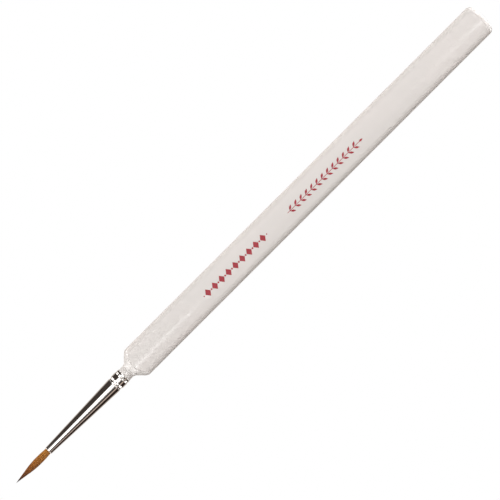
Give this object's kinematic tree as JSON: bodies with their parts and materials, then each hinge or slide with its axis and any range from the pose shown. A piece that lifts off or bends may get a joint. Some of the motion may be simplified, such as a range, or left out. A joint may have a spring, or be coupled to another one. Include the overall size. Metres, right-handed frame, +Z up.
{
  "type": "fine detail brush",
  "caption": "Fine pointed hobby brush: slim three-sided lacquered grip, tapered crimped metal ferrule and a small pointed tuft of hair that bends.",
  "frame": {"origin": "middle of the brush's length, on the surface that it lies on, under the brush's axis", "axes": "+X along the brush from the hair tip to the butt, +Y across the grip, +Z up from the face it lies on"},
  "size_m": [0.19, 0.01, 0.0095],
  "materials": {
    "hair": "fine natural hair, orange brown at the root and dark at the point",
    "thread": "waxed winding thread",
    "resin": "cured amber resin",
    "ferrule_plate": "polished nickel plate on a drawn tube",
    "glue": "cured glue film",
    "handle_wood": "sanded close-grained hardwood",
    "lacquer": "glossy warm white dipped lacquer"
  },
  "bodies": {
    "handle": {"handle_core": "handle_wood", "lacquer_coat": "lacquer", "handle_glue": "glue", "ferrule": "ferrule_plate", "resin_plug": "resin", "binding_thread": "thread", "hair_root": "hair"},
    "hair": {"tuft": "hair"}
  },
  "joints": [
    {"name": "tuft_bend", "type": "hinge", "parent": "handle", "child": "hair", "pos_m": [-0.0829, 0, 0.00396], "axis": [0, 0, 1], "range_deg": [-40, 40], "stiffness_Nm_per_rad": 0.0004}
  ]
}
